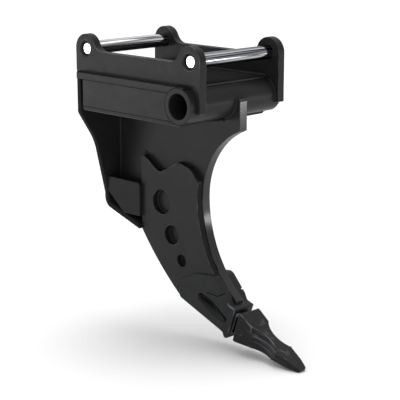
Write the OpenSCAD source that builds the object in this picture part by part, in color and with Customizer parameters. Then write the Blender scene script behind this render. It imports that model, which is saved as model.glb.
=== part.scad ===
// Single-shank ripper with a two-pin quick-coupler bracket.
// Frame: origin at the middle of the front coupler pin, +X forward to the tip,
// +Y along the pins to the left-hand side, +Z up. Millimetres.

/* [Coupler pins] */
// Distance between the two coupler pins
pin_centres = 430; // [390:1:480]
// Diameter of the coupler pins
pin_d = 40; // [34:1:46]
// Chamfer on the pin ends
pin_chamfer = 2.5; // [1:0.5:4]
// How far each pin end lies inside the outer face of its ear
pin_recess = 7; // [3:0.5:10]
// Width of the weld bevel round each pin hole
hole_bevel = 5; // [3:0.5:7]

/* [Ear plates] */
// Clear width between the two ear plates
ear_gap = 290; // [250:1:340]
// Thickness of an ear plate
ear_t = 25; // [20:1:32]
// Radius of an ear about its pin
ear_r = 43; // [38:0.5:50]
// Radius of the hollow that runs from an ear down to the top edge
ear_fillet_r = 40; // [25:1:60]
// Depth of the top edge between the ears below the pin axes
valley_drop = 5; // [0:0.5:10]
// Depth of the front hook of an ear plate below the pin axes
hook_drop = 140; // [125:1:150]

/* [Box] */
// Depth of the deck's top face below the pin axes
deck_drop = 67; // [60:0.5:75]
// Thickness of the deck
deck_t = 20; // [15:0.5:25]
// How far the box stands out past the right-hand ear plate
box_overhang = 22; // [18:0.5:35]
// How far the deck runs ahead of the cross tube's axis
deck_nose = 20; // [12:0.5:25]
// Thickness of a side panel
panel_t = 15; // [10:0.5:18]
// Setback of the side panels from the deck's rear edge
panel_setback = 37; // [25:1:60]
// Thickness of a bottom plate
bottom_t = 13; // [9:0.5:18]
// How far the bottom plates run ahead of the cross tube's axis
bottom_nose = 8; // [0:0.5:20]
// Radius along the lower outer edge of a bottom plate
bottom_edge_r = 8; // [4:0.5:9]

/* [Cross tube] */
// Outer diameter of the cross tube
tube_d = 102; // [94:1:106]
// Bore of the cross tube
tube_bore = 72; // [60:1:80]
// How far the tube's axis lies behind the front pin
tube_back = 20; // [15:0.5:25]
// Steel of the deck left above the tube
tube_cover_top = 3; // [2:0.5:6]
// Steel of the bottom plates left below the tube
tube_cover_bottom = 6; // [3:0.5:8]

/* [Back plate] */
// How far the back plate's rear face lies inside the ear plates' rear ends
back_inset = 2; // [0:0.5:8]
// Thickness of the back plate and the heel plate
back_t = 15; // [12:0.5:20]
// Depth of the back plate's full-width part below the pin axes
back_shoulder_drop = 193; // [180:1:210]
// Half width of the back plate where its shoulders end
back_neck_half = 110; // [95:1:125]
// Depth below the pin axes where the shoulders end
back_neck_drop = 285; // [265:1:310]
// Half width of the back plate at its foot
back_foot_half = 70; // [60:1:85]
// Depth below the pin axes of the heel's rear corner
heel_drop = 488; // [470:1:500]
// Outer radius of the bend between the back plate and the heel
heel_r = 38; // [24:1:48]

/* [Shank] */
// Thickness of the shank plate
shank_t = 30; // [24:1:36]
// How far the shank's horn reaches ahead of the front pin
horn_reach = 44; // [40:0.5:50]
// Depth of the horn's top below the pin axes
horn_top_drop = 112; // [105:0.5:118]
// Depth below the pin axes of the shank's narrowest point
waist_drop = 417; // [405:1:430]
// How far the front edge is drawn back there, behind the front pin
waist_back = 101; // [90:1:112]
// Radius of the front edge above the narrowest point
throat_r = 228; // [215:1:245]
// Radius of the front edge below the narrowest point
shin_r = 362; // [345:1:385]

/* [Cheek plates] */
// Thickness of a cheek plate
cheek_t = 20; // [15:0.5:24]
// Bulge of the shank's rear edge below the heel
shin_bow = 8; // [3:0.5:14]
// Setback of the right-hand cheek's front edge from the shank's
cheek_setback_right = 3; // [2:0.5:12]
// Setback of the left-hand cheek's front edge from the shank's
cheek_setback_left = 24; // [2:0.5:30]
// How far the cheeks' upright rear edge lies behind the front pin
cheek_back = 342; // [330:1:352]
// Depth below the pin axes where the cheeks' rear edge turns forward
cheek_heel_drop = 550; // [542:1:565]
// Diameter of the upper plug-weld hole
plug_d1 = 75; // [60:1:85]
// Diameter of the middle plug-weld hole
plug_d2 = 60; // [45:1:70]
// Diameter of the lower plug-weld hole
plug_d3 = 38; // [28:1:48]

/* [Rear gussets] */
// Thickness of a rear gusset
gusset_t = 12; // [8:0.5:16]
// Depth of the gussets' top edge below the pin axes
gusset_drop = 408; // [395:1:420]
// Height of the gussets' rear edge on the back plate
gusset_rear_h = 36; // [28:1:42]
// Depth of the gussets' lower front corner below the pin axes
gusset_foot_drop = 510; // [500:1:520]

/* [Adapter] */
// How far the middle of the collar's front face lies ahead of the front pin
collar_ahead = 37.5; // [35:0.5:40]
// Depth of the middle of the collar's front face below the pin axes
collar_drop = 765; // [760:1:770]
// Width of the adapter
adapter_w = 80; // [76:0.5:90]
// Angle of the tooth's axis below the horizontal
dig_angle = 19.5; // [17:0.5:22]
// Height of the collar's front face
collar_h = 100; // [92:1:110]
// Length of the legs along their lower edge
leg_l = 212; // [204:1:218]
// Depth of the legs' lower edge below the tooth's axis
leg_low = 36; // [33:0.5:40]
// How far the legs' upper edge stands ahead of the right-hand cheek's front edge
leg_proud = 1; // [0.5:0.5:2]
// Height of the weld recess in each leg, at its middle
weld_slot_w = 34; // [24:0.5:38]
// Width of the deep groove along the recess's upper edge
weld_groove_w = 9; // [6:0.5:12]
// Depth of that groove below the leg's face
weld_groove_depth = 17; // [14:0.5:20]
// Slope of the recess's floor, from its lower edge inwards
weld_slot_slope = 20; // [12:1:24]
// Width and depth of the joint groove between leg and collar
joint_groove = 5.5; // [2.5:0.5:6]
// Length of the nose that carries the tooth
nose_l = 68; // [60:1:76]
// Width of the nose at the collar
nose_w = 54; // [48:0.5:58]
// Height of the nose at the collar
nose_h = 66; // [58:0.5:72]

/* [Tooth] */
// Clear gap between the collar and the tooth's rear edge
tooth_gap = 16; // [8:0.5:20]
// Length of the tooth
tooth_l = 240; // [220:1:260]
// Width of the cutting edge
tip_w = 24; // [16:0.5:32]
// Height of the blunt cutting edge
tip_h = 12; // [8:0.5:18]
// Depth of the scoop in each side of the tooth
scoop_depth = 8; // [4:0.5:12]
// Diameter of the pin that holds the tooth
tooth_pin_d = 13; // [10:0.5:16]
// Outer diameter of the ring that holds the tooth pin
ring_d = 27; // [23:0.5:30]
// Thickness of that ring
ring_t = 7; // [4:0.5:9]

/* [Fits] */
// Radial room between a round piece and the plates cut to it
fit = 0.2; // [0.1:0.05:0.5]
// Room between the nose and the tooth's socket
socket_fit = 0.8; // [0.4:0.1:1.5]

/* [Hidden] */
$fn = 96;
paint = "#303133";
chrome = "#d9dadc";
cast_paint = "#2a2b2d";
zinc = "#8f9194";
over = 1;

// Levels and places that several pieces share
left = 1;
right = -1;
pin_r = pin_d / 2;
ear_in = ear_gap / 2;
ear_out = ear_in + ear_t;
box_right = -ear_out - box_overhang;
box_left = ear_out;
box_left_low = ear_in;
box_w = box_left - box_right;
clear_of_box = 3 * box_w;
rear_x = -pin_centres - ear_r;
deck_top = -deck_drop;
deck_under = deck_top - deck_t;
tube_r = tube_d / 2;
tube_x = -tube_back;
tube_z = deck_top - tube_cover_top - tube_r;
bottom_under = tube_z - tube_r - tube_cover_bottom;
bottom_top = bottom_under + bottom_t;
back_rear = rear_x + back_inset;
back_front = back_rear + back_t;
panel_rear = back_front + panel_setback;
shank_half = shank_t / 2;
cheek_out = shank_half + cheek_t;
gusset_out = cheek_out + gusset_t;

// Heel plate: its outer face runs from the rear corner to the cheeks' heel
heel_rear = [back_rear, -heel_drop];
heel_front = [-cheek_back, -cheek_heel_drop];
heel_angle = atan2(heel_front[1] - heel_rear[1], heel_front[0] - heel_rear[0]);
function heel_top_z(x) = heel_rear[1] + back_t / cos(heel_angle) + (x - heel_rear[0]) * tan(heel_angle);

// Adapter and tooth share a frame at the middle of the collar's front face
collar_half = collar_h / 2;
fork_u = -0.1 * leg_l;
tongue_u = 3 * fork_u;
adapter_half = adapter_w / 2;
tooth_u = tooth_gap;
tip_u = tooth_gap + tooth_l;
tooth_pin_inset = 22;
tooth_pin_u = tooth_u + tooth_pin_inset;
tooth_pin_v = -3;
function in_part(u, v) = [collar_ahead + u * cos(dig_angle) + v * sin(dig_angle),
    -collar_drop - u * sin(dig_angle) + v * cos(dig_angle)];
function in_nose(p) = let (x = p[0] - collar_ahead, z = p[1] + collar_drop)
    [x * cos(dig_angle) - z * sin(dig_angle), x * sin(dig_angle) + z * cos(dig_angle)];

// A place on the adapter's legs, as shares of their length and of half the collar's height
function on_leg(p) = [p[0] * leg_l, p[1] * collar_half];

// The legs' rear corners as such shares, and the shares of length where their upper edge turns, with radii
pads = [[-1.09, 0.12, 10], [-0.81, 1.36, 24]];
crowns = [[-0.52, 26], [-0.2, 12]];

// Circle arc as a list of points, angles in degrees
function arc(c, r, a0, a1, n = 12) =
    [for (i = [0:n]) c + r * [cos(a0 + (a1 - a0) * i / n), sin(a0 + (a1 - a0) * i / n)]];

// One corner of an outline replaced by an arc that is tangent to both edges
function corner(p, q, s, r, n = 6) =
    let (a = (p - q) / norm(p - q), b = (s - q) / norm(s - q))
    let (half = acos(max(-1, min(1, a * b))) / 2, mid = (a + b) / norm(a + b))
    let (c = q + mid * r / sin(half), t0 = q + a * r / tan(half), t1 = q + b * r / tan(half))
    let (a0 = atan2(t0[1] - c[1], t0[0] - c[0]), a1 = atan2(t1[1] - c[1], t1[0] - c[0]))
    let (turn = a1 - a0 > 180 ? a1 - a0 - 360 : a1 - a0 < -180 ? a1 - a0 + 360 : a1 - a0)
    arc(c, r, a0, a0 + turn, n);

// Outline whose points carry a corner radius as a third value, 0 for a sharp corner
function rounded(pts) = [for (i = [0:len(pts) - 1])
    let (k = len(pts), p = pts[(i + k - 1) % k], q = pts[i], s = pts[(i + 1) % k])
    for (c = q[2] > 0 ? corner([p[0], p[1]], [q[0], q[1]], [s[0], s[1]], q[2]) : [[q[0], q[1]]]) c];

// Flat outline in X and Z, thickened along Y about the plane y
module plate(y, t) {
    translate([0, y, 0]) rotate([90, 0, 0]) linear_extrude(t, center = true) children();
}

// Round bar along Y through the point x, z
module bar(x, z, r, l) {
    translate([x, 0, z]) rotate([90, 0, 0]) cylinder(r = r, h = l, center = true);
}

// Space that the cross tube takes, with room to fit
module tube_space() {
    bar(tube_x, tube_z, tube_r + fit, clear_of_box);
}

module in_nose_frame() {
    translate([collar_ahead, 0, -collar_drop]) rotate([0, dig_angle, 0]) children();
}

// The same frame for outlines drawn in X and Z
module nose_outline() {
    translate([collar_ahead, -collar_drop]) rotate(-dig_angle) children();
}

// Coupler ears

// Side view: two round ears, a hollow beside each, and a hook down the front of the tube
module ear_outline() {
    crossing = 0.05;
    reach = ear_r + ear_fillet_r - crossing;
    rise = ear_fillet_r - valley_drop;
    run = sqrt(reach * reach - rise * rise);
    deck_front = tube_x + deck_nose;
    difference() {
        polygon([[rear_x, 0], [rear_x, deck_top], [deck_front, deck_top], [deck_front, -hook_drop],
            [ear_r, -hook_drop], [ear_r, 0], [0, 0], [-run, rise], [-run, -valley_drop],
            [run - pin_centres, -valley_drop], [run - pin_centres, rise], [-pin_centres, 0]]);
        for (x = [-run, run - pin_centres]) translate([x, rise]) circle(ear_fillet_r);
    }
    for (x = [-pin_centres, 0]) translate([x, 0]) circle(ear_r);
}

module pin_hole(x, side) {
    bar(x, 0, pin_r + fit, clear_of_box);
    translate([x, side * ear_out, 0]) rotate([side * 90, 0, 0])
        translate([0, 0, -over])
            cylinder(r1 = pin_r + hole_bevel + over, r2 = pin_r, h = hole_bevel + over);
}

module ear_plate(side) {
    color(paint) difference() {
        plate(side * (ear_in + ear_t / 2), ear_t) ear_outline();
        pin_hole(0, side);
        pin_hole(-pin_centres, side);
        tube_space();
    }
}

module ear_plate_left() { ear_plate(left); }

module ear_plate_right() { ear_plate(right); }

// Coupler pins

module coupler_pin(x) {
    half = ear_out - pin_recess;
    color(chrome) translate([x, 0, 0]) rotate([90, 0, 0]) rotate_extrude()
        polygon([[0, -half], [pin_r - pin_chamfer, -half], [pin_r, -half + pin_chamfer],
            [pin_r, half - pin_chamfer], [pin_r - pin_chamfer, half], [0, half]]);
}

module front_pin() { coupler_pin(0); }

module rear_pin() { coupler_pin(-pin_centres); }

// Box under the ears

module cross_tube() {
    color(paint) translate([tube_x, box_left, tube_z]) rotate([90, 0, 0]) difference() {
        cylinder(r = tube_r, h = box_w);
        translate([0, 0, -over]) cylinder(d = tube_bore, h = box_w + 2 * over);
    }
}

// The corner that stands out past the right-hand ear is cut back at the rear
module deck_plate() {
    corner_cut = 9;
    front = tube_x + deck_nose;
    color(paint) difference() {
        translate([0, 0, deck_under]) linear_extrude(deck_t)
            polygon([[back_front, -ear_out], [back_front + corner_cut, box_right], [front, box_right],
                [front, box_left], [back_front, box_left]]);
        tube_space();
    }
}

// Side wall of the box whose right-hand face lies at y
module side_panel(y) {
    color(paint) difference() {
        translate([panel_rear, y, bottom_top])
            cube([tube_x - panel_rear, panel_t, deck_under - bottom_top]);
        tube_space();
    }
}

module side_panel_left() { side_panel(box_left_low - panel_t); }

module side_panel_right() { side_panel(box_right); }

// Section across the part, from the shank out to the rounded lower edge at y
module bottom_section(y) {
    inner = sign(y) * shank_half;
    polygon(rounded([[inner, bottom_top, 0], [inner, bottom_under, 0], [y, bottom_under, bottom_edge_r],
        [y, bottom_top, 0]]));
}

module bottom_plate(y) {
    front = tube_x + bottom_nose;
    color(paint) difference() {
        translate([panel_rear, 0, 0]) rotate([90, 0, 90])
            linear_extrude(front - panel_rear) bottom_section(y);
        tube_space();
    }
}

module bottom_plate_left() { bottom_plate(box_left_low); }

module bottom_plate_right() { bottom_plate(box_right); }

// Back of the shank

back_foot = -heel_drop + heel_r;
back_edge = 2;
// Half width of the back plate at the level z, between its neck and its foot
function back_half(z) = back_foot_half
    + (back_neck_half - back_foot_half) * (z - back_foot) / (-back_neck_drop - back_foot);

module back_outline() {
    shoulder_r = 20;
    neck_r = 180;
    polygon(rounded([[ear_out, deck_top, 0], [ear_out, -back_shoulder_drop, shoulder_r],
        [back_neck_half, -back_neck_drop, neck_r], [back_foot_half, back_foot, 0],
        [-back_foot_half, back_foot, 0], [-back_neck_half, -back_neck_drop, neck_r],
        [-ear_out, -back_shoulder_drop, shoulder_r], [-ear_out, deck_top, 0]]));
}

module back_plate() {
    color(paint) translate([back_rear, 0, 0]) rotate([90, 0, 90]) linear_extrude(back_t) back_outline();
}

// The heel plate bends out of the back plate's foot and tapers to the gussets' front ends
module heel_plate() {
    bend = [back_front, heel_top_z(back_front), heel_r - back_t];
    color(paint) intersection() {
        plate(0, clear_of_box) polygon(rounded([[back_rear, back_foot, 0],
            [heel_rear[0], heel_rear[1], heel_r], [heel_front[0], heel_front[1], 0],
            [heel_front[0], heel_top_z(heel_front[0]), 0], bend, [back_front, back_foot, 0]]));
        translate([0, 0, heel_front[1] - over]) linear_extrude(back_foot - heel_front[1] + 2 * over)
            polygon([[heel_rear[0] - over, -back_foot_half], [back_front, -back_foot_half],
                [heel_front[0], -gusset_out], [heel_front[0], gusset_out], [back_front, back_foot_half],
                [heel_rear[0] - over, back_foot_half]]);
    }
}

// Shank

// Front edge from the horn down into the adapter, drawn back by inset
throat_centre = [throat_r - waist_back, -waist_drop];
shin_centre = [shin_r - waist_back, -waist_drop];
shin_sweep = 52;
function shank_front(inset) =
    let (top = acos((throat_centre[0] - horn_reach) / throat_r))
    concat(arc(throat_centre, throat_r + inset, 180 - top, 180, 24),
        arc(shin_centre, shin_r + inset, 180, 180 + shin_sweep, 20));

// Arc from p to q that bulges to the right of the way by sag
function bow(p, q, sag, n = 10) =
    let (d = q - p, l = norm(d), r = l * l / (8 * sag) + sag / 2, out = [d[1], -d[0]] / l)
    let (c = (p + q) / 2 + out * (sag - r), half = asin(l / 2 / r), mid = atan2(out[1], out[0]))
    arc(c, r, mid - half, mid + half, n);

// Rear edge below the heel, down to the adapter's lower rear corner
shin_back = bow([-cheek_back, -cheek_heel_drop], in_part(-leg_l, -leg_low), shin_bow);

// Lower end of the shank's and cheeks' outlines, hidden between the adapter's legs
shank_toe = in_part(0, -collar_half / 2);

module shank_outline() {
    front = shank_front(0);
    horn_round = 10;
    horn_toe_r = 6;
    difference() {
        polygon(concat([[tube_x, -horn_top_drop], [tube_x, deck_under], [back_front, deck_under]],
            corner([back_front, deck_under], [back_front, heel_top_z(back_front)],
                [-cheek_back, heel_top_z(-cheek_back)], heel_r - back_t),
            [[-cheek_back, heel_top_z(-cheek_back)]], shin_back, [shank_toe],
            [for (i = [len(front) - 1:-1:1]) front[i]],
            corner(front[1], front[0], [horn_reach, -horn_top_drop], horn_toe_r),
            corner([horn_reach, -waist_drop], [horn_reach, -horn_top_drop], [tube_x, -horn_top_drop],
                horn_round)));
        nose_outline() translate([fork_u - fit, -2 * collar_h]) square(4 * collar_h);
        translate([tube_x, tube_z]) circle(tube_r + fit);
    }
}

module shank_plate() {
    color(paint) plate(0, shank_t) shank_outline();
}

// Cheek plates

// Wavy top edge as places with corner radii
cheek_peak = [-cheek_back, -314, 9];
cheek_dip = [-264, -366, 28];
cheek_crown = [-182, -321, 34];
cheek_shoulder = [-132, -335, 30];
cheek_brow = -370;

// Plug-weld holes on a bowed line from the upper hole to the middle of the leg's rear edge
plug_top = [-254, -453];
plug_bow = 7;
leg_rear = (on_leg(pads[0]) + on_leg(pads[1])) / 2;
plug_way = in_part(leg_rear[0], leg_rear[1]) - plug_top;
plug_out = [plug_way[1], -plug_way[0]] / norm(plug_way);
function plug_place(share) = plug_top + share * plug_way + 4 * share * (1 - share) * plug_bow * plug_out;
plugs = [[0, plug_d1], [0.43, plug_d2], [0.775, plug_d3]];

module cheek_outline(setback) {
    front = [for (p = shank_front(setback)) if (p[1] < cheek_brow) p];
    difference() {
        polygon(concat(rounded([[-cheek_back, -cheek_heel_drop + 2 * over, 0], cheek_peak, cheek_dip,
            cheek_crown, cheek_shoulder, [front[0][0], cheek_brow, 0]]), front, [shank_toe],
            [for (i = [len(shin_back) - 1:-1:0]) shin_back[i]]));
        nose_outline() {
            adapter_outline();
            translate([tongue_u, -2 * collar_h]) square(4 * collar_h);
        }
        for (p = plugs) translate(plug_place(p[0])) circle(d = p[1]);
    }
}

module cheek_plate(side, setback) {
    color(paint) plate(side * (shank_half + cheek_t / 2), cheek_t) cheek_outline(setback);
}

module cheek_plate_left() { cheek_plate(left, cheek_setback_left); }

module cheek_plate_right() { cheek_plate(right, cheek_setback_right); }

// Rear gussets run from the back plate's edge to the cheeks and stand on the heel plate

module rear_gusset(side) {
    rear_low = -gusset_drop - gusset_rear_h;
    rear_y = back_half(rear_low) - back_edge;
    front_x = -cheek_back + 4;
    stand_x = (back_front + front_x) / 2;
    color(paint) intersection() {
        plate(0, clear_of_box) polygon(rounded([[back_front, -gusset_drop + 8, 0],
            [front_x, -gusset_drop, 10], [front_x, -gusset_foot_drop, 0], [stand_x, heel_top_z(stand_x), 0],
            [back_front, rear_low, 0]]));
        translate([0, 0, -cheek_heel_drop]) linear_extrude(cheek_heel_drop)
            polygon([[back_front, side * rear_y], [front_x, side * gusset_out], [front_x, side * cheek_out],
                [back_front, side * (rear_y - gusset_t)]]);
    }
}

module rear_gusset_left() { rear_gusset(left); }

module rear_gusset_right() { rear_gusset(right); }

// Adapter

// A place on the legs' upper edge, which runs along the right-hand cheek's front edge
function by_front(share) = let (c = in_nose(shin_centre), u = share * leg_l)
    [u, c[1] - sqrt(pow(shin_r + cheek_setback_right - leg_proud, 2) - pow(u - c[0], 2))];

// Side view in the nose frame: legs to the rear, collar at zero, corner radii as third values
module adapter_outline() {
    collar_lip = 12;
    lip_h = 2;
    lip_slope = 10;
    lip_low = leg_low + 4;
    lip_r = 6;
    step_r = 8;
    heel_round = 14;
    top_land = 6;
    polygon(rounded(concat([[0, collar_half, lip_r], [0, -collar_half, lip_r],
        [-collar_lip, -collar_half - lip_h, lip_r], [-collar_lip - lip_slope, -lip_low, step_r],
        [-leg_l, -leg_low, heel_round]], [for (p = pads) [on_leg(p)[0], on_leg(p)[1], p[2]]],
        [for (p = crowns) [by_front(p[0])[0], by_front(p[0])[1], p[1]]],
        [[fork_u - top_land, collar_half, step_r]])));
}

// Recess along the leg: widest at its middle, drawn in at both ends
module weld_slot() {
    lower = [for (p = [[-0.66, 0], [-0.37, -0.16], [-0.11, -0.18]]) on_leg(p)];
    upper = [lower[0] + [-8, weld_slot_w * 0.65], lower[1] + [-12, weld_slot_w],
        lower[2] + [4, weld_slot_w * 0.45]];
    rear_r = 9;
    front_r = 6;
    low_r = 90;
    high_r = 60;
    polygon(rounded([[lower[0][0], lower[0][1], rear_r], [lower[1][0], lower[1][1], low_r],
        [lower[2][0], lower[2][1], front_r], [upper[2][0], upper[2][1], front_r],
        [upper[1][0], upper[1][1], high_r], [upper[0][0], upper[0][1], rear_r]]));
}

// The recess's floor slopes in from its lower edge, down to the groove along its upper edge
module weld_groove(side) {
    shift = weld_groove_w * [-0.5, -1];
    plate(side * adapter_half, 2 * weld_groove_depth) difference() {
        weld_slot();
        translate(shift) weld_slot();
    }
}

module weld_recess(side) {
    low_v = -0.18 * collar_half;
    intersection() {
        plate(side * adapter_half, adapter_w / 2) weld_slot();
        translate([0, side * adapter_half, low_v]) rotate([side * weld_slot_slope, 0, 0])
            translate([-2 * leg_l, side == left ? 0 : -adapter_w, -collar_h])
                cube([2 * leg_l, adapter_w, 3 * collar_h]);
    }
}

// Bent line on the leg's face where the leg meets the collar's wedge
module joint_line() {
    p = [for (q = [[-0.54, 0.76], [-0.34, 1.04], [-0.2, 1.75]]) on_leg(q)];
    w = joint_groove;
    polygon([p[0], p[1] + [0, -w / 2], p[2] + [w, 0], p[2], p[1] + [-w / 4, w / 2], p[0] + [0, w / 2]]);
}

// Tapered nose, grown by g all round for the socket; its end is a share of its size at the collar
nose_end_top = 0.22;
nose_end_low = 0.16;
nose_end_side = 0.32;

module nose(g) {
    back_u = -over;
    end_u = nose_l + g;
    end_half = nose_w * nose_end_side + g;
    intersection() {
        plate(0, nose_w + 2 * g) polygon([[back_u, nose_h / 2 + g], [end_u, nose_h * nose_end_top + g],
            [end_u, -nose_h * nose_end_low - g], [back_u, -nose_h / 2 - g]]);
        translate([0, 0, -nose_h]) linear_extrude(2 * nose_h)
            polygon([[back_u, nose_w / 2 + g], [end_u, end_half], [end_u, -end_half],
                [back_u, -nose_w / 2 - g]]);
    }
}

// Half width of the nose at u
function nose_half(u) = nose_w / 2 - (u + over) / (nose_l + over) * nose_w * (1 / 2 - nose_end_side);

module adapter() {
    color(cast_paint) in_nose_frame() difference() {
        union() {
            plate(0, adapter_w) adapter_outline();
            nose(0);
        }
        plate(0, shank_t) translate([fork_u - 4 * collar_h, -2 * collar_h]) square(4 * collar_h);
        for (side = [left, right]) {
            weld_recess(side);
            weld_groove(side);
            plate(side * adapter_half, 2 * joint_groove) joint_line();
        }
        bar(tooth_pin_u, tooth_pin_v, tooth_pin_d / 2 + fit, adapter_w);
        translate([tooth_pin_u, -nose_half(tooth_pin_u), tooth_pin_v]) rotate([90, 0, 0])
            cylinder(d = ring_d + 2 * fit, h = 2 * ring_t + 2, center = true);
    }
}

// Tooth

// Places along the tooth as shares of its length
kink_u = tooth_u + tooth_l * 0.29;
scoop_u = tooth_u + tooth_l * 0.47;
flare_u = tooth_u + tooth_l * 0.66;
spade_u = tooth_u + tooth_l * 0.86;

// How far the flare lies inside the adapter's width
flare_in = 10;

module tooth_side() {
    socket_top = 52;
    socket_low = -44;
    kink_top = 33;
    kink_low = -25;
    kink_r = 120;
    socket_r = 7;
    socket_lean = 6;
    tip_lean = 4;
    tip_r = 3;
    polygon(rounded([[tooth_u, socket_top, socket_r], [tooth_u + socket_lean, socket_low, socket_r],
        [kink_u, kink_low, kink_r], [tip_u - tip_lean, -tip_h / 2, tip_r], [tip_u, tip_h / 2, tip_r],
        [kink_u, kink_top, kink_r]]));
}

// Top view: the sides draw in, flare out again and run to a rounded tip
module tooth_plan() {
    kink_in = 4;
    spade_in = 17;
    kink_round = 40;
    flare_round = 14;
    spade_round = 90;
    tip_round = 9;
    half = [[tooth_u - over, adapter_half, 0], [kink_u, adapter_half - kink_in, kink_round],
        [flare_u, adapter_half - flare_in, flare_round], [spade_u, adapter_half - spade_in, spade_round],
        [tip_u, tip_w / 2, tip_round]];
    polygon(rounded(concat(half, [for (i = [len(half) - 1:-1:0]) [half[i][0], -half[i][1], half[i][2]]])));
}

module tooth() {
    scoop_r = 85;
    scoop_lean = 12;
    scoop_y = adapter_half - flare_in + scoop_r - scoop_depth;
    color(cast_paint) in_nose_frame() difference() {
        intersection() {
            plate(0, 2 * adapter_w) tooth_side();
            translate([0, 0, -collar_h]) linear_extrude(2 * collar_h) tooth_plan();
        }
        nose(socket_fit);
        for (side = [left, right])
            translate([scoop_u, side * scoop_y, 0]) rotate([side * scoop_lean, 0, 0])
                cylinder(r = scoop_r, h = 3 * collar_h, center = true);
        bar(tooth_pin_u, tooth_pin_v, tooth_pin_d / 2 + fit, 2 * adapter_w);
    }
}

module tooth_pin() {
    end_setback = 2.5;
    color(cast_paint) in_nose_frame()
        bar(tooth_pin_u, tooth_pin_v, tooth_pin_d / 2, adapter_w - 2 * end_setback);
}

module pin_ring() {
    color(zinc) in_nose_frame() difference() {
        translate([tooth_pin_u, -nose_half(tooth_pin_u) + 1 + ring_t / 2, tooth_pin_v]) rotate([90, 0, 0])
            cylinder(d = ring_d, h = ring_t, center = true);
        bar(tooth_pin_u, tooth_pin_v, tooth_pin_d / 2 + fit, adapter_w);
    }
}

ear_plate_left();
ear_plate_right();
front_pin();
rear_pin();
cross_tube();
deck_plate();
side_panel_left();
side_panel_right();
bottom_plate_left();
bottom_plate_right();
back_plate();
heel_plate();
shank_plate();
cheek_plate_left();
cheek_plate_right();
rear_gusset_left();
rear_gusset_right();
adapter();
tooth();
tooth_pin();
pin_ring();
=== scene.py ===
import math
import bpy
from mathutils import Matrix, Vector


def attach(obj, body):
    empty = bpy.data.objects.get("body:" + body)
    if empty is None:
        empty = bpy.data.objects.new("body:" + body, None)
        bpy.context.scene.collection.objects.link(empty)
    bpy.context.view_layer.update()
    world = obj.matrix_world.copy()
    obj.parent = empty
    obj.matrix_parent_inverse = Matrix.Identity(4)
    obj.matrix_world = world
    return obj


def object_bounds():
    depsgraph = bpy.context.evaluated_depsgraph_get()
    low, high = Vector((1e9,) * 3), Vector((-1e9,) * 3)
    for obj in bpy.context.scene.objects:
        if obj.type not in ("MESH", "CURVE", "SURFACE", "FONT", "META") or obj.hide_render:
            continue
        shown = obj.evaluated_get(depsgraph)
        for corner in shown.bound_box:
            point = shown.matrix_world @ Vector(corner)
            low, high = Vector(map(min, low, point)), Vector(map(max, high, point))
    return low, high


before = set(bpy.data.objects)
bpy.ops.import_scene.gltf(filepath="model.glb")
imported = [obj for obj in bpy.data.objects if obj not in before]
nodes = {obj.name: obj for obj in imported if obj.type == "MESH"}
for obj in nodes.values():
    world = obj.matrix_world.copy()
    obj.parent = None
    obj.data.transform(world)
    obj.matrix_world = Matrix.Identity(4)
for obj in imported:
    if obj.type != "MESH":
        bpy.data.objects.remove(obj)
cad_low, cad_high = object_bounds()
MM = 0.001

# Angle of the tooth below the horizontal
NOSE_TURN = math.radians(19.5)

# Camera, from the view that the photograph was taken at
CAMERA_AZIMUTH = math.radians(45.10)
CAMERA_ELEVATION = math.radians(13.65)
CAMERA_ANGLE = math.radians(17.92)
CAMERA_PLACE = (2.42465, -2.54290, 0.44357)
CAMERA_REACH = 200


def add_camera():
    bpy.ops.object.select_all(action="DESELECT")
    turn = (math.pi / 2 - CAMERA_ELEVATION, 0, CAMERA_AZIMUTH)
    bpy.ops.object.camera_add(location=CAMERA_PLACE, rotation=turn)
    camera = bpy.context.object
    camera.name = "photo_camera"
    camera.data.sensor_fit = "HORIZONTAL"
    camera.data.angle = CAMERA_ANGLE
    camera.data.clip_end = CAMERA_REACH
    bpy.context.scene.camera = camera


# Materials

# Colours, shine and roughness that all the plates' paint shares
ENAMEL_DARK = "#202020"
ENAMEL_LIGHT = "#262627"
FACE_SHINE = 0.135
FACE_ROUGH = 0.39
ROUGH_SPREAD = 0.03

# Sizes of the paint's cloudy tone and of its film, in millimetres
CLOUD_MM = 90
CAST_CLOUD_MM = 60
FILM_MM = 28

# Sizes of the casting's grain, of the zinc's spangle and of the floor's cloud, in millimetres
GRAIN_MM = 5
SPANGLE_MM = 4
FLOOR_CLOUD_MM = 900

# Noise values between which most of a pattern lies
NOISE_LOW = 0.3
NOISE_HIGH = 0.7

# Share of a face's direction from which it counts as an edge, as facing up, or as facing sideways
EDGE_FROM = 0.45
EDGE_FULL = 0.75
TOP_FROM = 0.6
TOP_FULL = 0.9
SIDE_FROM = 0.5

# Distances from the middle plane where the painted shade in the adapter's weld recesses begins and is
# darkest, in metres
RECESS_EDGE = 0.0388
RECESS_DEEP = 0.0325

# Tooth's painted highlight streaks: length, spacing over the top and width on the sides, in millimetres
SCOOP_STREAK_MM = (260, 22, 5)
PIT_MM = 7

# Middle of the tooth's scoops along X, and how far the painted highlight streaks reach and fade from there,
# in metres
SCOOP_X = 0.165
SCOOP_REACH = 0.04
SCOOP_FADE = 0.075

# Where the collar begins, and where nothing of the part lies further to the rear, along X in metres
COLLAR_X = 0.024
REAR_END = -0.5
# Size of the patches into which the painted edge highlights break up, in millimetres
HIGHLIGHT_PATCH_MM = 35

# Chrome streaks, partly polishing streaks and partly painted reflection bands: width, length and height of
# one, in millimetres
STREAK_MM = (6, 500, 6)

# Coupler pins, in metres: where the end faces begin, half the distance between the axes, and where the
# painted shade ring towards the end's chamfer begins and is full
PIN_FACE = 0.161
HALF_CENTRES = 0.215
CHAMFER_FROM = 0.0125
CHAMFER_FULL = 0.017


def linear(code):
    """sRGB hex such as "#303133" as linear red, green, blue and alpha."""
    out = []
    for i in (1, 3, 5):
        c = int(code[i:i + 2], 16) / 255
        out.append(c / 12.92 if c <= 0.04045 else ((c + 0.055) / 1.055) ** 2.4)
    return (*out, 1.0)


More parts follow.
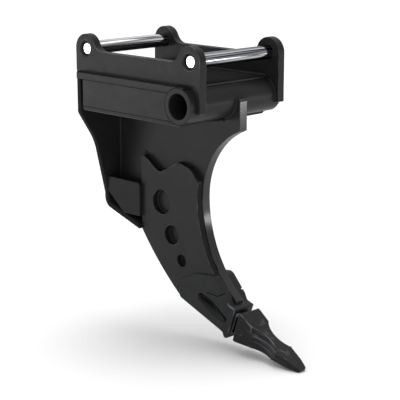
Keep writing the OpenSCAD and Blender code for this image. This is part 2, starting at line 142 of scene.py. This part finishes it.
def add(tree, kind, inputs, **settings):
    """One node with its settings; an input is a value, or a socket to link from."""
    node = tree.nodes.new(kind)
    for key, value in settings.items():
        setattr(node, key, value)
    for key, value in inputs.items():
        if isinstance(value, bpy.types.NodeSocket):
            tree.links.new(value, node.inputs[key])
        else:
            node.inputs[key].default_value = value
    return node


def new_material(name):
    material = bpy.data.materials.new(name)
    material.use_nodes = True
    tree = material.node_tree
    tree.nodes.clear()
    place = add(tree, "ShaderNodeTexCoord", {}).outputs["Object"]
    return material, tree, place


def per_metre(size_mm):
    """Noise scale whose blotches are about this many millimetres across."""
    return 1 / (size_mm * MM)


# Two-pack satin enamel sprayed on shot-blasted plate: near black, a soft broad gloss, a faint orange peel.
# A real peel of about 1 mm is drawn at 3 mm, and at 2 mm on the welds, so that it shows.
# Faces that look up can be duller with dust. Cut edges that look one way can be duller with cutting marks,
# or glossier where they were ground before paint.
def satin_enamel(name, peel_mm=3.0, peel_depth_mm=0.12, top_shine=FACE_SHINE,
                 edge_shine=FACE_SHINE, edge_rough=FACE_ROUGH, edge_axis="X", edge_sign=1):
    material, tree, place = new_material(name)
    cloud = add(tree, "ShaderNodeTexNoise", {"Vector": place, "Scale": per_metre(CLOUD_MM), "Detail": 4.0})
    tone = add(tree, "ShaderNodeMapRange", {
        "Value": cloud.outputs["Fac"], "From Min": NOISE_LOW, "From Max": NOISE_HIGH})
    colour = add(tree, "ShaderNodeMix", {
        "Factor": tone.outputs["Result"], "A": linear(ENAMEL_DARK), "B": linear(ENAMEL_LIGHT)},
        data_type="RGBA")
    normal = add(tree, "ShaderNodeNewGeometry", {}).outputs["Normal"]
    facing = add(tree, "ShaderNodeSeparateXYZ", {"Vector": normal})
    edge = add(tree, "ShaderNodeMapRange", {
        "Value": facing.outputs[edge_axis],
        "From Min": EDGE_FROM * edge_sign, "From Max": EDGE_FULL * edge_sign})
    face_shine = add(tree, "ShaderNodeMapRange", {
        "Value": facing.outputs["Z"], "From Min": TOP_FROM, "From Max": TOP_FULL,
        "To Min": FACE_SHINE, "To Max": top_shine})
    shine = add(tree, "ShaderNodeMix", {
        "Factor": edge.outputs["Result"], "A": face_shine.outputs["Result"], "B": edge_shine},
        data_type="FLOAT")
    film = add(tree, "ShaderNodeTexNoise", {"Vector": place, "Scale": per_metre(FILM_MM), "Detail": 3.0})
    face_gloss = add(tree, "ShaderNodeMapRange", {
        "Value": film.outputs["Fac"], "From Min": NOISE_LOW, "From Max": NOISE_HIGH,
        "To Min": FACE_ROUGH - ROUGH_SPREAD, "To Max": FACE_ROUGH + ROUGH_SPREAD})
    gloss = add(tree, "ShaderNodeMix", {
        "Factor": edge.outputs["Result"], "A": face_gloss.outputs["Result"], "B": edge_rough},
        data_type="FLOAT")
    peel = add(tree, "ShaderNodeTexNoise", {"Vector": place, "Scale": per_metre(peel_mm), "Detail": 2.0})
    bump = add(tree, "ShaderNodeBump", {
        "Height": peel.outputs["Fac"], "Strength": 0.35, "Distance": peel_depth_mm * MM})
    shader = add(tree, "ShaderNodeBsdfPrincipled", {
        "Base Color": colour.outputs["Result"],
        "Roughness": gloss.outputs["Result"],
        "Specular IOR Level": shine.outputs["Result"],
        "Normal": bump.outputs["Normal"]})
    add(tree, "ShaderNodeOutputMaterial", {"Surface": shader.outputs["BSDF"]})
    return material


# Forged tooth, dipped in gloss black: a pitted skin, and painted blue-grey highlight streaks along its
# scoops.
# The streaks are drawn 5 mm wide so that they show.
def dipped_forging():
    material, tree, place = new_material("gloss_black_enamel_on_forging")
    turned = add(tree, "ShaderNodeMapping", {"Vector": place, "Rotation": (0, -NOSE_TURN, 0)})
    stretched = add(tree, "ShaderNodeMapping", {
        "Vector": turned.outputs["Vector"], "Scale": [per_metre(size) for size in SCOOP_STREAK_MM]})
    scoop_streaks = add(tree, "ShaderNodeTexNoise", {
        "Vector": stretched.outputs["Vector"], "Scale": 1.0, "Detail": 3.0})
    pits = add(tree, "ShaderNodeTexNoise", {"Vector": place, "Scale": per_metre(PIT_MM), "Detail": 5.0})
    along = add(tree, "ShaderNodeSeparateXYZ", {"Vector": place})
    from_scoop = add(tree, "ShaderNodeMath", {0: along.outputs["X"], 1: SCOOP_X}, operation="SUBTRACT")
    apart = add(tree, "ShaderNodeMath", {0: from_scoop.outputs["Value"]}, operation="ABSOLUTE")
    scoop_highlight_reach = add(tree, "ShaderNodeMapRange", {
        "Value": apart.outputs["Value"], "From Min": SCOOP_REACH, "From Max": SCOOP_FADE,
        "To Min": 1.0, "To Max": 0.0})
    line = add(tree, "ShaderNodeMapRange", {
        "Value": scoop_streaks.outputs["Fac"], "From Min": 0.5, "From Max": 0.68})
    scoop_highlight = add(tree, "ShaderNodeMath", {0: line.outputs["Result"], 1: scoop_highlight_reach.outputs["Result"]},
               operation="MULTIPLY")
    tone = add(tree, "ShaderNodeMapRange", {
        "Value": pits.outputs["Fac"], "From Min": NOISE_LOW, "From Max": NOISE_HIGH})
    skin = add(tree, "ShaderNodeMix", {
        "Factor": tone.outputs["Result"], "A": linear("#101011"), "B": linear("#18181a")}, data_type="RGBA")
    # Painted highlight: blue-grey streaks along the scoops
    colour = add(tree, "ShaderNodeMix", {
        "Factor": scoop_highlight.outputs["Value"], "A": skin.outputs["Result"], "B": linear("#4e4f58")},
        data_type="RGBA")
    gloss = add(tree, "ShaderNodeMapRange", {
        "Value": pits.outputs["Fac"], "From Min": NOISE_LOW, "From Max": NOISE_HIGH,
        "To Min": 0.2, "To Max": 0.4})
    bump = add(tree, "ShaderNodeBump", {
        "Height": pits.outputs["Fac"], "Strength": 0.5, "Distance": 1.0 * MM})
    shader = add(tree, "ShaderNodeBsdfPrincipled", {
        "Base Color": colour.outputs["Result"],
        "Roughness": gloss.outputs["Result"],
        "Specular IOR Level": 0.18,
        "Normal": bump.outputs["Normal"]})
    add(tree, "ShaderNodeOutputMaterial", {"Surface": shader.outputs["BSDF"]})
    return material


# Cast adapter: satin black over a sand-cast grain, with painted shade in its weld recesses: near black
# floors without shine, darker the deeper they lie. The grain, finer on a real casting, is drawn at 5 mm so
# that it shows.
def recessed_casting():
    material, tree, place = new_material("satin_black_enamel_on_casting")
    cloud = add(tree, "ShaderNodeTexNoise", {
        "Vector": place, "Scale": per_metre(CAST_CLOUD_MM), "Detail": 4.0})
    tone = add(tree, "ShaderNodeMapRange", {
        "Value": cloud.outputs["Fac"], "From Min": NOISE_LOW, "From Max": NOISE_HIGH})
    skin = add(tree, "ShaderNodeMix", {
        "Factor": tone.outputs["Result"], "A": linear("#1f2021"), "B": linear("#262729")}, data_type="RGBA")
    across = add(tree, "ShaderNodeSeparateXYZ", {"Vector": place})
    out = add(tree, "ShaderNodeMath", {0: across.outputs["Y"]}, operation="ABSOLUTE")
    deep = add(tree, "ShaderNodeMapRange", {
        "Value": out.outputs["Value"], "From Min": RECESS_DEEP, "From Max": RECESS_EDGE,
        "To Min": 1.0, "To Max": 0.0})
    normal = add(tree, "ShaderNodeNewGeometry", {}).outputs["Normal"]
    facing = add(tree, "ShaderNodeSeparateXYZ", {"Vector": normal})
    turned = add(tree, "ShaderNodeMath", {0: facing.outputs["Y"]}, operation="ABSOLUTE")
    sideways = add(tree, "ShaderNodeMath", {0: turned.outputs["Value"], 1: SIDE_FROM},
                   operation="GREATER_THAN")
    # Painted shade: recess floors that face sideways turn near black and lose their shine, darker the deeper
    # they lie
    painted_recess_shade = add(tree, "ShaderNodeMath", {0: deep.outputs["Result"], 1: sideways.outputs["Value"]},
               operation="MULTIPLY")
    colour = add(tree, "ShaderNodeMix", {
        "Factor": painted_recess_shade.outputs["Value"], "A": skin.outputs["Result"], "B": linear("#040404")},
        data_type="RGBA")
    shine = add(tree, "ShaderNodeMapRange", {
        "Value": painted_recess_shade.outputs["Value"], "To Min": FACE_SHINE, "To Max": 0.0})
    film = add(tree, "ShaderNodeTexNoise", {"Vector": place, "Scale": per_metre(FILM_MM), "Detail": 3.0})
    gloss = add(tree, "ShaderNodeMapRange", {
        "Value": film.outputs["Fac"], "From Min": NOISE_LOW, "From Max": NOISE_HIGH,
        "To Min": 0.3, "To Max": 0.42})
    grain = add(tree, "ShaderNodeTexNoise", {"Vector": place, "Scale": per_metre(GRAIN_MM), "Detail": 2.0})
    bump = add(tree, "ShaderNodeBump", {
        "Height": grain.outputs["Fac"], "Strength": 0.35, "Distance": 0.35 * MM})
    shader = add(tree, "ShaderNodeBsdfPrincipled", {
        "Base Color": colour.outputs["Result"],
        "Roughness": gloss.outputs["Result"],
        "Specular IOR Level": shine.outputs["Result"],
        "Normal": bump.outputs["Normal"]})
    add(tree, "ShaderNodeOutputMaterial", {"Surface": shader.outputs["BSDF"]})
    return material


# Painted highlight along broken edges: a lighter, glossier line that comes and goes every 35 mm or so,
# on what lies ahead of a place along X
def edge_highlight_enamel(name, highlight_colour, start_x):
    material, tree, place = new_material(name)
    highlight_breakup = add(tree, "ShaderNodeTexNoise", {"Vector": place, "Scale": per_metre(HIGHLIGHT_PATCH_MM), "Detail": 3.0})
    highlight_patches = add(tree, "ShaderNodeMapRange", {
        "Value": highlight_breakup.outputs["Fac"], "From Min": 0.42, "From Max": 0.66})
    along = add(tree, "ShaderNodeSeparateXYZ", {"Vector": place})
    ahead = add(tree, "ShaderNodeMath", {0: along.outputs["X"], 1: start_x}, operation="GREATER_THAN")
    painted_edge_highlight = add(tree, "ShaderNodeMath", {0: highlight_patches.outputs["Result"], 1: ahead.outputs["Value"]},
               operation="MULTIPLY")
    colour = add(tree, "ShaderNodeMix", {
        "Factor": painted_edge_highlight.outputs["Value"], "A": linear(ENAMEL_LIGHT), "B": linear(highlight_colour)}, data_type="RGBA")
    gloss = add(tree, "ShaderNodeMapRange", {
        "Value": painted_edge_highlight.outputs["Value"], "To Min": FACE_ROUGH, "To Max": 0.26})
    shine = add(tree, "ShaderNodeMapRange", {
        "Value": painted_edge_highlight.outputs["Value"], "To Min": FACE_SHINE, "To Max": 0.3})
    shader = add(tree, "ShaderNodeBsdfPrincipled", {
        "Base Color": colour.outputs["Result"],
        "Roughness": gloss.outputs["Result"],
        "Specular IOR Level": shine.outputs["Result"]})
    add(tree, "ShaderNodeOutputMaterial", {"Surface": shader.outputs["BSDF"]})
    return material


# Hard chrome on a drawn bar: mirror metal with lighter and darker streaks along its length, polishing
# streaks widened and deepened into painted reflection bands, and a bright turned end face with a painted
# shade ring towards its chamfer.
# The streaks, finer than 1 mm on the real bar, are drawn 6 mm wide so that they show.
def hard_chrome(name, dark, light):
    material, tree, place = new_material(name)
    along = add(tree, "ShaderNodeMapping", {
        "Vector": place, "Scale": [per_metre(size) for size in STREAK_MM]})
    streaks_and_reflection_bands = add(tree, "ShaderNodeTexNoise", {
        "Vector": along.outputs["Vector"], "Scale": 1.0, "Detail": 2.0})
    tone = add(tree, "ShaderNodeMapRange", {
        "Value": streaks_and_reflection_bands.outputs["Fac"], "From Min": 0.44, "From Max": 0.56})
    colour = add(tree, "ShaderNodeMix", {
        "Factor": tone.outputs["Result"], "A": linear(dark), "B": linear(light)}, data_type="RGBA")
    across = add(tree, "ShaderNodeSeparateXYZ", {"Vector": place})
    out = add(tree, "ShaderNodeMath", {0: across.outputs["Y"]}, operation="ABSOLUTE")
    end = add(tree, "ShaderNodeMath", {0: out.outputs["Value"], 1: PIN_FACE}, operation="GREATER_THAN")
    from_mid = add(tree, "ShaderNodeMath", {0: across.outputs["X"], 1: HALF_CENTRES}, operation="ADD")
    from_axis = add(tree, "ShaderNodeMath", {0: from_mid.outputs["Value"]}, operation="ABSOLUTE")
    aside = add(tree, "ShaderNodeMath", {0: from_axis.outputs["Value"], 1: HALF_CENTRES},
                operation="SUBTRACT")
    spoke = add(tree, "ShaderNodeCombineXYZ", {"X": aside.outputs["Value"], "Z": across.outputs["Z"]})
    radius = add(tree, "ShaderNodeVectorMath", {0: spoke.outputs["Vector"]}, operation="LENGTH")
    # Painted shade: the end face darkens in a ring towards its chamfer
    painted_chamfer_shade = add(tree, "ShaderNodeMapRange", {
        "Value": radius.outputs["Value"], "From Min": CHAMFER_FROM, "From Max": CHAMFER_FULL})
    face = add(tree, "ShaderNodeMix", {
        "Factor": painted_chamfer_shade.outputs["Result"], "A": linear("#f4f4f5"), "B": linear("#5a5b5f")}, data_type="RGBA")
    faced = add(tree, "ShaderNodeMix", {
        "Factor": end.outputs["Value"], "A": colour.outputs["Result"], "B": face.outputs["Result"]},
        data_type="RGBA")
    gloss = add(tree, "ShaderNodeMapRange", {
        "Value": streaks_and_reflection_bands.outputs["Fac"], "From Min": NOISE_LOW, "From Max": NOISE_HIGH,
        "To Min": 0.16, "To Max": 0.07})
    shader = add(tree, "ShaderNodeBsdfPrincipled", {
        "Base Color": faced.outputs["Result"],
        "Metallic": 1.0,
        "Roughness": gloss.outputs["Result"]})
    add(tree, "ShaderNodeOutputMaterial", {"Surface": shader.outputs["BSDF"]})
    return material


# Bright zinc on a turned ring: grey metal with a soft frosted spangle of about 4 mm
def zinc_plate():
    material, tree, place = new_material("zinc_plated_steel")
    frost = add(tree, "ShaderNodeTexNoise", {"Vector": place, "Scale": per_metre(SPANGLE_MM), "Detail": 4.0})
    tone = add(tree, "ShaderNodeMapRange", {
        "Value": frost.outputs["Fac"], "From Min": NOISE_LOW, "From Max": NOISE_HIGH})
    colour = add(tree, "ShaderNodeMix", {
        "Factor": tone.outputs["Result"], "A": linear("#75777a"), "B": linear("#9a9ca0")}, data_type="RGBA")
    gloss = add(tree, "ShaderNodeMapRange", {
        "Value": frost.outputs["Fac"], "From Min": NOISE_LOW, "From Max": NOISE_HIGH,
        "To Min": 0.3, "To Max": 0.5})
    shader = add(tree, "ShaderNodeBsdfPrincipled", {
        "Base Color": colour.outputs["Result"],
        "Metallic": 1.0,
        "Roughness": gloss.outputs["Result"]})
    add(tree, "ShaderNodeOutputMaterial", {"Surface": shader.outputs["BSDF"]})
    return material


# Painted studio floor: matt and nearly white, with the faintest cloud
def studio_floor():
    material, tree, place = new_material("matt_white_floor_paint")
    cloud = add(tree, "ShaderNodeTexNoise", {
        "Vector": place, "Scale": per_metre(FLOOR_CLOUD_MM), "Detail": 2.0})
    colour = add(tree, "ShaderNodeMix", {
        "Factor": cloud.outputs["Fac"], "A": linear("#f7f7f7"), "B": linear("#f9f9f9")}, data_type="RGBA")
    shader = add(tree, "ShaderNodeBsdfPrincipled", {
        "Base Color": colour.outputs["Result"],
        "Roughness": 0.9,
        "Specular IOR Level": 0.0})
    add(tree, "ShaderNodeOutputMaterial", {"Surface": shader.outputs["BSDF"]})
    return material


plate_paint = satin_enamel("satin_black_enamel")
deck_paint = satin_enamel("satin_black_enamel_under_dust", top_shine=0.0)
ear_paint = satin_enamel("satin_black_enamel_on_sawn_edge", edge_shine=0.09)
cheek_paint = satin_enamel("satin_black_enamel_on_flame_cut_edge", edge_shine=0.03, edge_rough=0.5)
shank_paint = satin_enamel("satin_black_enamel_on_ground_edge", edge_shine=0.36, edge_rough=0.17)
back_paint = satin_enamel("satin_black_enamel_on_sheared_edge", edge_shine=0.02, edge_rough=0.5,
                          edge_axis="Y", edge_sign=-1)
weld_paint = satin_enamel("satin_black_enamel_on_weld", peel_mm=2.0, peel_depth_mm=0.3)
cast_paint = recessed_casting()
tooth_paint = dipped_forging()
# Front pin: darker streak colours, painted dark reflection bands
chrome_with_painted_dark_bands = hard_chrome("hard_chrome_with_painted_dark_reflection_bands", "#101114", "#a4a5aa")
bright_chrome = hard_chrome("hard_chrome_on_drawn_bar", "#595a5f", "#f4f4f6")
zinc = zinc_plate()
# Painted edge highlights: lighter on the collar and tooth than on the plates
plate_edge_highlight = edge_highlight_enamel("satin_black_enamel_with_painted_highlight_on_plate_edges", "#48494b", REAR_END)
collar_and_tooth_edge_highlight = edge_highlight_enamel("satin_black_enamel_worn_on_collar_and_tooth", "#6a6b6e", COLLAR_X)

# Finish of each node; the rest have the plates' plain paint
FINISH = {
    "ear_plate_left": ear_paint, "ear_plate_right": ear_paint,
    "front_pin": chrome_with_painted_dark_bands, "rear_pin": bright_chrome,
    "deck_plate": deck_paint,
    "back_plate": back_paint, "heel_plate": back_paint,
    "shank_plate": shank_paint,
    "cheek_plate_left": cheek_paint, "cheek_plate_right": cheek_paint,
    "adapter": cast_paint, "tooth": tooth_paint,
    "tooth_pin": cast_paint, "pin_ring": zinc}

# Nodes whose broken edges carry a painted highlight
EDGE_HIGHLIGHT = {
    "ear_plate_left": plate_edge_highlight, "ear_plate_right": plate_edge_highlight,
    "cheek_plate_left": plate_edge_highlight, "cheek_plate_right": plate_edge_highlight,
    "shank_plate": plate_edge_highlight,
    "adapter": collar_and_tooth_edge_highlight, "tooth": collar_and_tooth_edge_highlight}

# Widths of the broken edges, in millimetres; the rest have the plates' width
EDGE_BREAK = {
    "adapter": 2.5, "tooth": 1.6,
    "front_pin": 1.5, "rear_pin": 1.5,
    "tooth_pin": 0.6, "pin_ring": 0.6}
PLATE_EDGE = 1.6

# Edges that turn more than this angle are broken, and corners nearer than this distance become one
BREAK_ANGLE = math.radians(35)
JOIN_MM = 0.02

# Edges that turn less than this are steps of one curved face
SOFT_ANGLE = math.radians(32)


def soft_shading():
    """Modifier group that shades faces smooth and keeps edges over SOFT_ANGLE sharp."""
    group = bpy.data.node_groups.new("soft_shading", "GeometryNodeTree")
    group.interface.new_socket("Geometry", in_out="INPUT", socket_type="NodeSocketGeometry")
    group.interface.new_socket("Geometry", in_out="OUTPUT", socket_type="NodeSocketGeometry")
    start = add(group, "NodeGroupInput", {})
    bend = add(group, "GeometryNodeInputMeshEdgeAngle", {})
    sharp = add(group, "FunctionNodeCompare", {0: bend.outputs["Unsigned Angle"], 1: SOFT_ANGLE},
                operation="GREATER_THAN")
    faces = add(group, "GeometryNodeSetShadeSmooth", {0: start.outputs[0], "Shade Smooth": True})
    edges = add(group, "GeometryNodeSetShadeSmooth", {
        0: faces.outputs[0], "Selection": sharp.outputs["Result"], "Shade Smooth": False}, domain="EDGE")
    add(group, "NodeGroupOutput", {0: edges.outputs[0]})
    return group


def dress_node(name, obj, shading):
    """Finish, broken edges and even shading for one CAD node, with a painted highlight on the broken edges
    of some nodes.
    """
    obj.data.materials.clear()
    obj.data.materials.append(FINISH.get(name, plate_paint))
    weld = obj.modifiers.new("join_corners", "WELD")
    weld.merge_threshold = JOIN_MM * MM
    bevel = obj.modifiers.new("broken_edge", "BEVEL")
    bevel.limit_method = "ANGLE"
    bevel.angle_limit = BREAK_ANGLE
    bevel.width = EDGE_BREAK.get(name, PLATE_EDGE) * MM
    bevel.segments = 2
    bevel.use_clamp_overlap = False
    # The broken edges of these nodes take the painted edge highlight
    if name in EDGE_HIGHLIGHT:
        obj.data.materials.append(EDGE_HIGHLIGHT[name])
        bevel.material = 1
    soft = obj.modifiers.new("soft_shading", "NODES")
    soft.node_group = shading
    smooth = obj.modifiers.new("even_shading", "WEIGHTED_NORMAL")
    smooth.keep_sharp = True


# Weld beads: a ripple of small overlapping scales laid in the corner between two plates, in millimetres

# Step between a bead's points, length of one scale, and how much scales and the hand's wander swell it
BEAD_STEP = 2.5
RIPPLE_PITCH = 6.5
RIPPLE_SHARE = 0.13
WANDER_SHARE = 0.06
WANDER_RATE = 0.37

# Steps in a bead's arcs, circles and rounded corners
ARC_STEPS = 24
CIRCLE_STEPS = 48
CORNER_STEPS = 6


def arc(centre, radius, start, end, steps=ARC_STEPS):
    """Points of an arc in X and Z, angles in degrees."""
    angles = [math.radians(start + (end - start) * i / steps) for i in range(steps + 1)]
    return [(centre[0] + radius * math.cos(a), centre[1] + radius * math.sin(a)) for a in angles]


def circle(centre, radius):
    return arc(centre, radius, 0, 360, CIRCLE_STEPS)


def soften(points, radius):
    """The same open line with its inner corners rounded to about this radius."""
    out = [points[0]]
    for before, here, after in zip(points, points[1:], points[2:]):
        p, q, r = Vector(before), Vector(here), Vector(after)
        start = q + (p - q).normalized() * min(radius, (p - q).length / 2)
        end = q + (r - q).normalized() * min(radius, (r - q).length / 2)
        for i in range(CORNER_STEPS + 1):
            t = i / CORNER_STEPS
            out.append(tuple(start.lerp(q, t).lerp(q.lerp(end, t), t)))
    return out + [points[-1]]


def even_steps(points, step):
    """Points at an even step along a line."""
    line = [Vector(p) for p in points]
    lengths = [(b - a).length for a, b in zip(line, line[1:])]
    count = max(2, round(sum(lengths) / step))
    out = []
    for i in range(count + 1):
        left = sum(lengths) * i / count
        k = 0
        while k < len(lengths) - 1 and left > lengths[k]:
            left -= lengths[k]
            k += 1
        out.append(line[k].lerp(line[k + 1], min(1.0, left / lengths[k])))
    return out


def weld_bead(points_mm, half_width_mm, closed=False):
    """One bead along points in millimetres."""
    bpy.ops.object.select_all(action="DESELECT")
    bpy.ops.curve.primitive_nurbs_path_add(location=(0, 0, 0))
    bead = bpy.context.object
    curve = bead.data
    curve.splines.clear()
    curve.dimensions = "3D"
    curve.bevel_depth = half_width_mm * MM
    curve.bevel_resolution = 2
    curve.use_fill_caps = True
    steps = even_steps(points_mm, BEAD_STEP)
    if closed:
        steps = steps[:-1]
    spline = curve.splines.new("POLY")
    spline.points.add(len(steps) - 1)
    spline.use_cyclic_u = closed
    for i, (point, place) in enumerate(zip(spline.points, steps)):
        point.co = (*(place * MM), 1)
        phase = i * BEAD_STEP / RIPPLE_PITCH
        scale = 1 - (phase - math.floor(phase))
        wander = WANDER_SHARE * math.sin(WANDER_RATE * i)
        point.radius = 1 - RIPPLE_SHARE + 2 * RIPPLE_SHARE * scale + wander
    bpy.ops.object.convert(target="MESH")
    return bpy.context.object


def weld_run(name, beads):
    """Several beads as one piece."""
    made = [weld_bead(*bead) for bead in beads]
    bpy.ops.object.select_all(action="DESELECT")
    for bead in made:
        bead.select_set(True)
    bpy.context.view_layer.objects.active = made[0]
    bpy.ops.object.join()
    piece = bpy.context.object
    piece.name = name
    bpy.ops.object.shade_smooth()
    piece.data.materials.clear()
    piece.data.materials.append(weld_paint)
    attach(piece, "root")


# Places that the beads share with the plates, in millimetres
EAR_IN = 145
EAR_OUT = 170
DECK_TOP = -67
DECK_UNDER = -87
DECK_REAR = -456
PANEL_REAR = -419
BOX_UNDER = -178
TUBE = (-20, -121)
TUBE_R = 51
PIN_CENTRES = 430
PIN_R = 20
SHANK_FACE = 15
CHEEK_FACE = 35
CHEEK_REAR = -342
PLUGS = ((-254, -453, 37.5), (-211, -547, 30), (-170, -618, 19))
CHEEK_TOP = ((-342, -314), (-264, -366), (-182, -321), (-132, -335), (-113, -370))
NOSE_PLACE = (37.5, -765)
LEG_PAD = ((-231, -10), (-231, 6), (-172, 68), (-110, 95))

# Where the beads end: short of a plate's end, along X or Z, or as angles round the tube in degrees
END_SHORT = 4
OUTER_FOOT_END = -40
UNDER_END = -16
SPINE_END = -440
CHEEK_REAR_SPAN = (-318, -530)
HOOK_SWEEP = (-20, 62)
SADDLE_SWEEP = (8, -84)

# Radii of the bent beads' corners
CHEEK_ROUND = 26
LEG_ROUND = 22

# Half widths of the beads
FOOT_BEAD = 4.5
OUTER_FOOT_BEAD = 2.2
HOOK_BEAD = 4
SEAM_BEAD = 5
CHEEK_BEAD = 3.5
PLUG_BEAD = 4.5
LEG_BEAD = 4.5
PIN_BEAD = 2.4

# How far beads lie from the faces and edges that they follow
PLUG_IN = 1
LEG_OUT = 1
PIN_OUT = 2
PIN_IN = 4.5


def at(y, line):
    """A line in X and Z, laid on the plane y."""
    return [(x, y, z) for x, z in line]


def from_nose(line):
    """A line in the adapter's frame, turned to the part's X and Z."""
    c, s = math.cos(NOSE_TURN), math.sin(NOSE_TURN)
    return [(NOSE_PLACE[0] + u * c + v * s, NOSE_PLACE[1] - u * s + v * c) for u, v in line]


def add_welds():
    ear_foot = [(DECK_REAR + END_SHORT, DECK_TOP), (-END_SHORT, DECK_TOP)]
    outer_foot = [(DECK_REAR + END_SHORT, DECK_TOP), (OUTER_FOOT_END, DECK_TOP)]
    hook = arc(TUBE, TUBE_R, *HOOK_SWEEP)
    ear_feet = [(at(-EAR_OUT, outer_foot), OUTER_FOOT_BEAD)]
    for side in (-1, 1):
        ear_feet.append((at(side * EAR_IN, ear_foot), FOOT_BEAD))
    for side in (-1, 1):
        ear_feet.append((at(side * EAR_IN, hook), HOOK_BEAD))
    saddle = arc(TUBE, TUBE_R, *SADDLE_SWEEP)
    under = [(PANEL_REAR + END_SHORT, BOX_UNDER), (UNDER_END, BOX_UNDER)]
    spine = [(DECK_REAR, DECK_UNDER - END_SHORT), (DECK_REAR, SPINE_END)]
    cheek_rear = [(CHEEK_REAR, z) for z in CHEEK_REAR_SPAN]
    shank_seams = []
    cheek_plates = []
    adapter_legs = []
    pin_ends = []
    for side in (-1, 1):
        face = side * SHANK_FACE
        for seam in (saddle, under, spine, cheek_rear):
            shank_seams.append((at(face, seam), SEAM_BEAD))
        cheek_plates.append((soften(at(face, CHEEK_TOP), CHEEK_ROUND), CHEEK_BEAD))
        for x, z, r in PLUGS:
            cheek_plates.append((at(face, circle((x, z), r - PLUG_IN)), PLUG_BEAD, True))
        leg_edge = at(side * (CHEEK_FACE + LEG_OUT), from_nose(LEG_PAD))
        adapter_legs.append((soften(leg_edge, LEG_ROUND), LEG_BEAD))
        for x in (0, -PIN_CENTRES):
            pin_ends.append((at(side * (EAR_OUT - PIN_IN), circle((x, 0), PIN_R + PIN_OUT)), PIN_BEAD, True))
    weld_run("weld_ear_feet", ear_feet)
    weld_run("weld_shank_seams", shank_seams)
    weld_run("weld_cheek_plates", cheek_plates)
    weld_run("weld_adapter_legs", adapter_legs)
    weld_run("weld_pin_ends", pin_ends)


# Floor and light

FLOOR_HALF = 40.0
HORIZON_GLOW = 0.42
ZENITH_GLOW = 1.08
SUN_ENERGY = 1.0
SUN_ANGLE = math.radians(40)
SUN_TURN = (math.radians(-6), math.radians(-4), 0)


def add_floor(z):
    bpy.ops.object.select_all(action="DESELECT")
    bpy.ops.mesh.primitive_plane_add(size=2 * FLOOR_HALF, location=(0, 0, z))
    floor = bpy.context.object
    floor.name = "studio_floor"
    floor.data.materials.append(studio_floor())


def add_sun():
    bpy.ops.object.select_all(action="DESELECT")
    bpy.ops.object.light_add(type="SUN", location=(0, 0, 4))
    sun = bpy.context.object
    sun.name = "overhead_skylight"
    sun.data.energy = SUN_ENERGY
    sun.data.angle = SUN_ANGLE
    sun.rotation_euler = SUN_TURN


def add_lamp(name, place, aim, size, power):
    bpy.ops.object.select_all(action="DESELECT")
    bpy.ops.object.light_add(type="AREA", location=place)
    lamp = bpy.context.object
    lamp.name = name
    lamp.data.shape = "RECTANGLE"
    lamp.data.size = size[0]
    lamp.data.size_y = size[1]
    lamp.data.energy = power
    lamp.rotation_euler = (Vector(aim) - Vector(place)).to_track_quat("-Z", "Y").to_euler()
    lamp.visible_camera = False


def add_dome():
    """A white dome, brightest overhead and dim at the horizon."""
    world = bpy.data.worlds.new("soft_studio")
    world.use_nodes = True
    tree = world.node_tree
    tree.nodes.clear()
    way = add(tree, "ShaderNodeTexCoord", {}).outputs["Generated"]
    height = add(tree, "ShaderNodeSeparateXYZ", {"Vector": way}).outputs["Z"]
    glow = add(tree, "ShaderNodeMapRange", {"Value": height, "To Min": HORIZON_GLOW, "To Max": ZENITH_GLOW})
    sky = add(tree, "ShaderNodeBackground", {"Color": (1, 1, 1, 1), "Strength": glow.outputs["Result"]})
    add(tree, "ShaderNodeOutputWorld", {"Surface": sky.outputs["Background"]})
    bpy.context.scene.world = world


def add_light():
    add_dome()
    add_sun()
    add_lamp("left_card", place=(-1.9, -1.9, -0.38), aim=(-0.2, -0.17, 0), size=(1.6, 0.3), power=7.5)
    add_lamp("high_back_softbox", place=(-0.2, 2.5, 2.6), aim=(-0.2, 0, 0), size=(2.0, 0.8), power=2.5)
    add_lamp("low_rim_strip", place=(2.0, 2.0, -0.45), aim=(-0.1, 0, -0.42), size=(0.6, 0.25), power=5.4)
    bpy.context.scene.view_settings.view_transform = "Standard"


add_camera()
node_shading = soft_shading()
for node_name, node_object in nodes.items():
    dress_node(node_name, node_object, node_shading)
add_welds()
add_floor(cad_low[2])
add_light()
